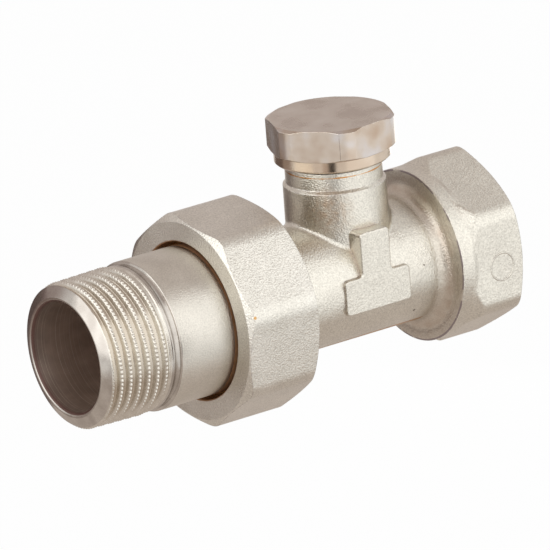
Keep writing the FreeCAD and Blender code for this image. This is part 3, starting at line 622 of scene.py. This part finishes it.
def bright_nickel():
    """Turned faces under the plating: brighter and sharper, with a painted dark, wine-red reflection on the
    lip's far side.
    """
    material, tree = new_material("bright_nickel")
    place = add(tree, "TexCoord").outputs["Object"]
    lines = lathe_lines(tree, place, "X", 0.12 * MM)
    stains = add(tree, "TexNoise", {"Vector": place, "Scale": 1 / (2.5 * MM), "Detail": 3.0})
    colour = add(tree, "ValToRGB", (stains,), [(0.35, "#B4ADA5"), (0.65, "#C8C2BA")])
    # Painted reflection: the lip's far, upper side is darkened to a wine red
    split = add(tree, "SeparateXYZ", (place,)).outputs
    upward = add(tree, "Math", (split["Y"], split["Z"]), operation="ADD")
    far_side = add(tree, "MapRange", (upward, 7 * MM, 15 * MM, 0.0, 0.75))
    at_lip = add(tree, "MapRange", (split["X"], TAIL_LOW.x + 1.2 * MM, TAIL_LOW.x + 2.2 * MM, 1.0, 0.0))
    mottle = add(tree, "MapRange", (stains, 0.35, 0.6, 0.4, 1.0))
    film_and_painted_light = add(tree, "Math", (far_side, at_lip), operation="MULTIPLY")
    film_and_painted_light = add(tree, "Math", (film_and_painted_light, mottle), operation="MULTIPLY")
    colour = stained(tree, colour, film_and_painted_light, "#6B514C")
    roughness = add(tree, "MapRange", (stains, 0.3, 0.7, 0.16, 0.26))
    rounded = add(tree, "Bevel", {"Radius": 0.08 * MM}, samples=6)
    normal = add(tree, "Bump", {"Height": lines, "Distance": 0.006 * MM, "Normal": rounded})
    surface(tree, 1.0, colour, roughness, normal)
    return material


def cut_thread():
    """The cut thread under the plating: bright crests, and painted tan shade in the tailpiece's roots."""
    material, tree = new_material("cut_thread")
    place = add(tree, "TexCoord").outputs["Object"]
    stains = add(tree, "TexNoise", {"Vector": place, "Scale": 1 / (1.2 * MM), "Detail": 3.0})
    colour = add(tree, "ValToRGB", (stains,), [(0.3, "#CEC8BE"), (0.7, "#DED9CF")])
    # Painted shade: tan in the thread's roots, by distance from the pipe's axis
    root_shade = add(tree, "MapRange", (pipe_distance(tree, place), 11.75 * MM, 12.2 * MM, 0.5, 0.0))
    colour = stained(tree, colour, root_shade, "#B4A38B")
    roughness = add(tree, "MapRange", (stains, 0.3, 0.7, 0.2, 0.3))
    grain = add(tree, "TexNoise", {"Vector": place, "Scale": 1 / (0.25 * MM), "Detail": 2.0})
    normal = add(tree, "Bump", {"Height": grain, "Distance": 0.008 * MM})
    surface(tree, 1.0, colour, roughness, normal)
    return material


def bore_metal():
    """The drilled and reamed bore: a dull brown coat with fine bright lines left by the tool, painted
    darker at the mouth and lighter deeper in, where little light reaches.
    """
    material, tree = new_material("bore_metal")
    place = add(tree, "TexCoord").outputs["Object"]
    lines = lathe_lines(tree, place, "X", 0.22 * MM)
    stains = add(tree, "TexNoise", {"Vector": place, "Scale": 1 / (3 * MM), "Detail": 2.0})
    film_and_painted_light = add(tree, "ValToRGB", (stains,), [(0.3, "#7A6659"), (0.7, "#8E786A")])
    inward = add(tree, "SeparateXYZ", (place,)).outputs["X"]
    # Painted light: the colour grows from darker at the mouth to lighter deeper in
    painted_depth_light = add(tree, "MapRange", (inward, TAIL_LOW.x, TAIL_LOW.x + 14 * MM, 0.56, 1.9))
    film_and_painted_light = add(tree, "VectorMath", {0: film_and_painted_light, "Scale": painted_depth_light}, operation="SCALE")
    mouth = add(tree, "MapRange", (inward, TAIL_LOW.x + 0.3 * MM, TAIL_LOW.x + 1.1 * MM, 0.8, 0.0))
    film_and_painted_light = stained(tree, film_and_painted_light, mouth, "#56342C")
    scratches = add(tree, "MapRange", (lines, 0.6, 0.72, 0.0, 0.5))
    colour = stained(tree, film_and_painted_light, scratches, "#C9B8A8")
    roughness = add(tree, "MapRange", (lines, 0.3, 0.7, 0.34, 0.44))
    normal = add(tree, "Bump", {"Height": lines, "Distance": 0.03 * MM})
    surface(tree, 0.3, colour, roughness, normal)
    return material


def brass_and_gap_reflection():
    """A dull copper brown in the gap between nut and tailpiece: bare brass on the nut's hole wall, and on
    the tailpiece a painted reflection of that wall.
    """
    material, tree = new_material("brass_and_gap_reflection")
    place = add(tree, "TexCoord").outputs["Object"]
    stains = add(tree, "TexNoise", {"Vector": place, "Scale": 1 / (1.5 * MM), "Detail": 2.0})
    colour = add(tree, "ValToRGB", (stains,), [(0.3, "#9C7452"), (0.7, "#B58A66")])
    roughness = add(tree, "MapRange", (stains, 0.3, 0.7, 0.4, 0.5))
    lines = lathe_lines(tree, place, "X", 0.2 * MM)
    normal = add(tree, "Bump", {"Height": lines, "Distance": 0.006 * MM})
    surface(tree, 0.35, colour, roughness, normal)
    return material


def bare_brass(name, axis):
    """Machined brass where no plating reaches: warm and dull, with tool lines."""
    material, tree = new_material(name)
    place = add(tree, "TexCoord").outputs["Object"]
    lines = lathe_lines(tree, place, axis, 0.2 * MM)
    stains = add(tree, "TexNoise", {"Vector": place, "Scale": 1 / (2 * MM), "Detail": 3.0})
    colour = add(tree, "ValToRGB", (stains,), [(0.3, "#A67A4E"), (0.7, "#C49A62")])
    roughness = add(tree, "MapRange", (stains, 0.3, 0.7, 0.28, 0.4))
    rounded = add(tree, "Bevel", {"Radius": 0.1 * MM}, samples=6)
    normal = add(tree, "Bump", {"Height": lines, "Distance": 0.01 * MM, "Normal": rounded})
    surface(tree, 1.0, colour, roughness, normal)
    return material


def cap_nickel(name, stops, low_rough, high_rough):
    """The cap: polished before plating, so it mirrors softly, with brown stains and painted highlights
    along its edges.
    """
    material, tree = new_material(name)
    place = add(tree, "TexCoord").outputs["Object"]
    lines = lathe_lines(tree, place, "Z", 0.18 * MM)
    clouds = add(tree, "TexNoise", {"Vector": place, "Scale": 1 / (5 * MM), "Detail": 2.0})
    colour = add(tree, "ValToRGB", (clouds,), stops)
    rounded = add(tree, "Bevel", {"Radius": 0.15 * MM}, samples=6)
    # Painted highlights: bright broken lines along the cap's edges
    colour = stained(tree, colour, edge_wear_and_highlight(tree, place, rounded), "#F0EAE1")
    roughness = add(tree, "MapRange", (clouds, 0.3, 0.7, low_rough, high_rough))
    normal = add(tree, "Bump", {"Height": lines, "Distance": 0.003 * MM, "Normal": rounded})
    grain = add(tree, "TexNoise", {"Vector": place, "Scale": 1 / (0.5 * MM), "Detail": 2.0})
    normal = add(tree, "Bump", {"Height": grain, "Distance": 0.003 * MM, "Normal": normal})
    surface(tree, 1.0, colour, roughness, normal)
    return material


def spring_steel():
    """Bright drawn steel wire and screws: cool grey."""
    material, tree = new_material("spring_steel")
    place = add(tree, "TexCoord").outputs["Object"]
    lines = lathe_lines(tree, place, "Z", 0.15 * MM)
    colour = add(tree, "ValToRGB", (lines,), [(0.3, "#9A9C9E"), (0.7, "#B4B6B8")])
    roughness = add(tree, "MapRange", (lines, 0.3, 0.7, 0.25, 0.35))
    rounded = add(tree, "Bevel", {"Radius": 0.08 * MM}, samples=6)
    normal = add(tree, "Bump", {"Height": lines, "Distance": 0.004 * MM, "Normal": rounded})
    surface(tree, 1.0, colour, roughness, normal)
    return material


def soft_material(name, stops, grain, depth, low_rough, high_rough):
    """A dull, non-metal seal or gasket."""
    material, tree = new_material(name)
    place = add(tree, "TexCoord").outputs["Object"]
    specks = add(tree, "TexNoise", {"Vector": place, "Scale": 1 / grain, "Detail": 3.0})
    colour = add(tree, "ValToRGB", (specks,), stops)
    roughness = add(tree, "MapRange", (specks, 0.3, 0.7, low_rough, high_rough))
    normal = add(tree, "Bump", {"Height": specks, "Distance": depth})
    surface(tree, 0.0, colour, roughness, normal)
    return material


forged_nickel = blasted_nickel("forged_nickel", "#D7D2C7", "#E0DCD1", 0.066 * MM, body_marks)
nut_nickel = blasted_nickel("nut_nickel", "#D8D4CA", "#E1DDD4", 0.084 * MM, nut_marks)
satin = satin_nickel()
bright = bright_nickel()
thread_nickel = cut_thread()
bore = bore_metal()
brass = bare_brass("bare_brass", "X")
gap_brass_and_reflection = brass_and_gap_reflection()
brass_upright = bare_brass("bare_brass_upright", "Z")
# The cap's top is a little duller than its flats and its skirt
top_stops = [(0.32, "#B8ACA0"), (0.5, "#C8BEB3"), (0.68, "#D1C9C0")]
side_stops = [(0.32, "#B5A18E"), (0.5, "#C5B7A9"), (0.66, "#CBC4C0")]
skirt_stops = [(0.3, "#C0AC98"), (0.7, "#D2C2B0")]
cap_top = cap_nickel("cap_top_nickel", top_stops, 0.24, 0.34)
cap_side = cap_nickel("cap_side_nickel", side_stops, 0.14, 0.22)
cap_skirt = cap_nickel("cap_skirt_nickel", skirt_stops, 0.16, 0.22)
steel = spring_steel()
# Nitrile rubber: black, with the faint bloom of a moulded ring
rubber_stops = [(0.3, "#1B1B1C"), (0.7, "#2A2A2B")]
rubber = soft_material("seal_rubber", rubber_stops, 0.3 * MM, 0.006 * MM, 0.45, 0.6)
# Pressed fibre sheet: dull red-brown with short fibres
fibre_stops = [(0.3, "#7E3B2A"), (0.7, "#94503A")]
fibre = soft_material("gasket_fibre", fibre_stops, 0.25 * MM, 0.02 * MM, 0.75, 0.9)


# Pieces


def pipe_radius(centre):
    """Distance of each point from the pipe's axis."""
    return np.hypot(centre[:, 1], centre[:, 2])


def neck_radius(centre):
    """Distance of each point from the neck's axis."""
    return np.hypot(centre[:, 0] - NECK_X, centre[:, 1])


tailpiece = tailpiece_mesh()
for material in (satin, bright, thread_nickel, bore, brass, gap_brass_and_reflection):
    tailpiece.data.materials.append(material)
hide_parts("tailpiece")
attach(tailpiece, "tail")


def body_threads(centre, normal):
    """The body's faces that its threads and the socket's finer surface replace."""
    r = pipe_radius(centre)
    n = neck_radius(centre)
    x = centre[:, 0]
    z = centre[:, 2]
    along_x = np.abs(normal[:, 0])
    along_z = np.abs(normal[:, 2])
    union = (x < UNION_THREAD_END) & (r > UNION_THREAD_R - UNION_LEAD) & (along_x < 0.99)
    socket = (x > SOCKET_BACK) & (r < SOCKET_THREAD_R + SOCKET_LEAD) & (along_x < 0.9)
    socket &= r > SOCKET_THREAD_R - 0.5 * MM
    neck = (z > NECK_SHOULDER) & (n > NECK_THREAD_R - NECK_LEAD) & (along_z < 0.99)
    collar_face = (np.abs(x - COLLAR_X) < TINY) & (r > COLLAR_FACE_R)
    outside = (x > COLLAR_X + TINY) & (r > SOCKET_WALL_R)
    end_face = x > SOCKET_END - TINY
    return union | socket | neck | collar_face | outside | end_face


def body_finish(centre, normal):
    """0 blasted outside, 1 bare brass inside, 2 turned end faces."""
    r = pipe_radius(centre)
    n = neck_radius(centre)
    x = centre[:, 0]
    z = centre[:, 2]
    finishes = np.zeros(len(centre))
    inside_pipe = (r < WATERWAY_R) & (n > NECK_WALL_R)
    inside_neck = (n < NECK_BORE_R) & (z < NECK_TOP + TINY)
    inside_socket = (x > SOCKET_BACK - 1 * MM) & (r < SOCKET_THREAD_R + 1 * MM)
    finishes[inside_pipe | inside_neck | inside_socket] = 1
    ends = (x > SOCKET_END - TINY) | (x < UNION_THREAD_END + TINY) | (z > NECK_SHOULDER - TINY)
    finishes[ends & (finishes == 0)] = 2
    return finishes


body = dressed_copy("valve_body", "valve_body_forging", body_threads)
finish_faces(body, [forged_nickel, brass, bright], body_finish)
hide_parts("valve_body")
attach(body, "body")

socket_thread = thread_sleeve("socket_thread", "x", SOCKET_BACK, SOCKET_END, SOCKET_THREAD_R,
                              SOCKET_THREAD_R + SOCKET_THREAD_DEPTH, PIPE_PITCH, False,
                              (SOCKET_THREAD_R, SOCKET_THREAD_R + SOCKET_LEAD))
union_thread = thread_sleeve("union_thread", "x", UNION_FACE, UNION_THREAD_END, UNION_THREAD_R,
                             UNION_THREAD_R - UNION_DEPTH, UNION_PITCH, True,
                             (UNION_THREAD_R - UNION_LEAD, None))
neck_thread = thread_sleeve("neck_thread", "z", NECK_SHOULDER, NECK_TOP, NECK_THREAD_R,
                            NECK_THREAD_R - NECK_THREAD_DEPTH, CAP_PITCH, True,
                            (None, NECK_THREAD_R - NECK_LEAD))
socket_skin = socket_surface()
socket_skin.data.materials.append(forged_nickel)
socket_skin.data.materials.append(bright)
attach(socket_skin, "body")
for piece, material in ((socket_thread, thread_nickel), (union_thread, bright), (neck_thread, bright)):
    piece.data.materials.append(material)
    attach(piece, "body")


def round_mark():
    """A hairline ring raised on the socket's side flat, as a pin in the forging die would leave it."""
    ring_r = 2.4 * MM
    wire_r = 0.2 * MM
    sunk = 0.09 * MM
    centre = Vector((NECK_X + 23.1 * MM, -SOCKET_AF / 2 + sunk, -1.1 * MM))
    rows = 72
    columns = 10
    turn = np.arange(rows).reshape(-1, 1) * (2 * math.pi / rows)
    tube = np.arange(columns).reshape(1, -1) * (2 * math.pi / columns)
    reach = ring_r + wire_r * np.cos(tube)
    x = centre.x + reach * np.cos(turn)
    y = centre.y + wire_r * np.sin(tube) + 0 * turn
    z = centre.z + reach * np.sin(turn)
    points = np.stack([x, y, z], axis=-1).reshape(-1, 3)
    return mesh_object("round_mark", points, ring_faces(rows, columns, closed=True)[:, ::-1])


mark = round_mark()
mark.data.materials.append(forged_nickel)
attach(mark, "body")


def nut_threads(centre, normal):
    """The nut's long bore, which the thread replaces."""
    r = pipe_radius(centre)
    wall = (np.abs(normal[:, 0]) < 0.9) & (centre[:, 0] > NUT_WEB_END + TINY)
    return wall & (r < NUT_THREAD_R + NUT_LEAD) & (r > NUT_BORE_R)


def nut_finish(centre, normal):
    """0 blasted outside, 1 bare brass behind the web, 2 tarnished brass in the hole."""
    r = pipe_radius(centre)
    x = centre[:, 0]
    finishes = np.zeros(len(centre))
    finishes[(r < NUT_THREAD_R) & (np.abs(normal[:, 0]) < 0.5)] = 1
    finishes[(x > NUT_WEB_END - TINY) & (x < NUT_HIGH.x - 1 * MM) & (r < NUT_THREAD_R)] = 1
    finishes[(x < NUT_WEB_END - TINY) & (r < NUT_HOLE_R + 0.1 * MM)] = 2
    return finishes


nut = dressed_copy("union_nut", "union_nut_forging", nut_threads)
finish_faces(nut, [nut_nickel, brass, gap_brass_and_reflection], nut_finish)
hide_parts("union_nut")
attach(nut, "nut")
nut_thread = thread_sleeve("nut_thread", "x", NUT_WEB_END, NUT_HIGH.x, NUT_THREAD_R,
                           NUT_THREAD_R + UNION_DEPTH, UNION_PITCH, False,
                           (NUT_THREAD_R, NUT_THREAD_R + NUT_LEAD))
nut_thread.data.materials.append(brass)
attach(nut_thread, "nut")


def cap_finish(centre, normal):
    """0 top, 1 hexagon, 2 skirt, 3 inside."""
    n = neck_radius(centre)
    finishes = np.ones(len(centre))
    finishes[normal[:, 2] > 0.9] = 0
    finishes[centre[:, 2] < CAP_HEAD - TINY] = 2
    finishes[(n < CAP_INSIDE_R) & (centre[:, 2] < CAP_HIGH.z - 1 * MM)] = 3
    return finishes


finish_faces(nodes["cap"], [cap_top, cap_side, cap_skirt, brass_upright], cap_finish)

# Inner pieces keep their solids
for node, material in (
    ("union_gasket", fibre),
    ("cap_gasket", fibre),
    ("bonnet", brass_upright),
    ("bonnet_oring", rubber),
    ("travel_stop_ring", steel),
    ("spindle", brass_upright),
    ("spindle_oring_lower", rubber),
    ("spindle_oring_upper", rubber),
    ("closing_disc", brass_upright),
    ("disc_seal", rubber),
    ("disc_washer", brass_upright),
    ("disc_screw", steel),
):
    nodes[node].data.materials.clear()
    nodes[node].data.materials.append(material)


# Studio

# The part is held by the pipe in its socket, 60 mm over the floor
FLOOR_DROP = 60 * MM
FLOOR_HALF_WIDTH = 3.0

# How much of the floor is glow to the camera and to the metal, so that it looks white
FLOOR_GLOW = 0.97

# The world's level for soft light, where white is 1
SOFT_LEVEL = 0.5


def seen_rays(tree):
    """1 for rays from the camera, a mirror or glass, and 0 for soft light."""
    path = add(tree, "LightPath").outputs
    seen = add(tree, "Math", (path["Is Camera Ray"], path["Is Glossy Ray"]), operation="MAXIMUM")
    return add(tree, "Math", (seen, path["Is Transmission Ray"]), operation="MAXIMUM")


def studio_floor():
    """A wide pale floor under the part, white to the camera and in the metal."""
    z = cad_box[0].z - FLOOR_DROP
    w = FLOOR_HALF_WIDTH
    points = [(-w, -w, z), (w, -w, z), (w, w, z), (-w, w, z)]
    floor = mesh_object("studio_floor", points, [(0, 1, 2, 3)])
    material, tree = new_material("pale_floor")
    share = add(tree, "Math", (seen_rays(tree), FLOOR_GLOW), operation="MULTIPLY")
    matt = add(tree, "BsdfDiffuse", {"Color": linear("#F8F8F7")})
    glow = add(tree, "Emission", {"Color": linear("#FFFFFF"), "Strength": 1.0})
    add(tree, "OutputMaterial", {"Surface": add(tree, "MixShader", (share, matt, glow))})
    floor.data.materials.append(material)


def studio_world():
    """White all round for the camera and the metal, a plain soft level for the rest."""
    world = bpy.data.worlds.new("studio")
    bpy.context.scene.world = world
    world.use_nodes = True
    tree = world.node_tree
    tree.nodes.clear()
    strength = add(tree, "MapRange", (seen_rays(tree), 0.0, 1.0, SOFT_LEVEL, 1.0))
    light = add(tree, "Background", {"Color": linear("#FFFFFF"), "Strength": strength})
    add(tree, "OutputWorld", {"Surface": light})


def stand_off(holder, azimuth, elevation, distance, aside=Vector()):
    """Stands a lamp or a card off the middle of the part and turns it towards the part."""
    turn = math.radians(azimuth)
    tilt = math.radians(elevation)
    back = Vector((math.sin(turn) * math.cos(tilt), -math.cos(turn) * math.cos(tilt), math.sin(tilt)))
    holder.location = (cad_box[0] + cad_box[1]) / 2 + back * distance + aside
    holder.rotation_mode = "QUATERNION"
    holder.rotation_quaternion = back.to_track_quat("Z", "Y")


def soft_box(name, azimuth, elevation, distance, width, height, power):
    """A flat lamp that looks at the middle of the part."""
    lamp = bpy.data.lights.new(name, "AREA")
    lamp.shape = "RECTANGLE"
    lamp.size = width
    lamp.size_y = height
    lamp.energy = power
    holder = bpy.data.objects.new(name, lamp)
    stand_off(holder, azimuth, elevation, distance)
    holder.visible_camera = False
    bpy.context.scene.collection.objects.link(holder)


def grey_card(name, azimuth, elevation, distance, width, height, colour, aside=Vector()):
    """A card that only the metal sees, as a photographer sets one to darken a reflection."""
    w = width / 2
    h = height / 2
    card = mesh_object(name, [(-w, -h, 0), (w, -h, 0), (w, h, 0), (-w, h, 0)], [(0, 1, 2, 3)])
    stand_off(card, azimuth, elevation, distance, aside)
    material, tree = new_material(name)
    glow = add(tree, "Emission", {"Color": linear(colour), "Strength": 1.0})
    add(tree, "OutputMaterial", {"Surface": glow})
    card.data.materials.append(material)
    card.visible_camera = False
    card.visible_shadow = False
    card.visible_diffuse = False


def photograph_camera():
    """The long lens of the photograph, where a fit to the picture puts it."""
    camera = bpy.data.cameras.new("camera")
    camera.sensor_width = 36.0
    camera.lens = 589.0909
    camera.clip_start = 0.1
    camera.clip_end = 20.0
    holder = bpy.data.objects.new("camera", camera)
    holder.location = (-0.871277, -1.185441, 0.462528)
    holder.rotation_mode = "QUATERNION"
    holder.rotation_quaternion = Quaternion((0.7592201, 0.5699243, -0.1550917, -0.2733454))
    bpy.context.scene.collection.objects.link(holder)
    bpy.context.scene.camera = holder


studio_floor()
studio_world()
soft_box("key_box", 13.0, 15.0, 0.75, 1.25, 1.5, 2.8)
soft_box("low_box", 24.0, -14.0, 0.21, 0.24, 0.05, 0.01)
soft_box("back_low_box", 126.0, -15.0, 0.21, 0.1, 0.04, 0.012)
soft_box("side_box", -85.0, 20.0, 0.75, 1.1, 1.1, 3.2)
grey_card("front_flag", -33.0, -11.0, 0.138, 0.034, 0.05, "#1E1917")
grey_card("front_flag_edge", -39.0, -11.0, 0.14, 0.066, 0.06, "#D6CAC2")
grey_card("back_flag", 190.0, -13.0, 0.118, 0.1, 0.08, "#756863")
grey_card("low_left_card", -146.0, -20.0, 0.12, 0.092, 0.085, "#A99C95")
grey_card("back_card", 160.0, 26.0, 0.45, 1.4, 0.58, "#D3C9C5")
grey_card("under_card", 0.0, -90.0, 0.07, 0.36, 0.36, "#CCC1B9", Vector((-0.035, 0.1, 0.0)))
grey_card("top_card", 0.0, 90.0, 0.35, 0.52, 0.52, "#D3C9C4")
photograph_camera()
bpy.context.scene.view_settings.view_transform = "Standard"
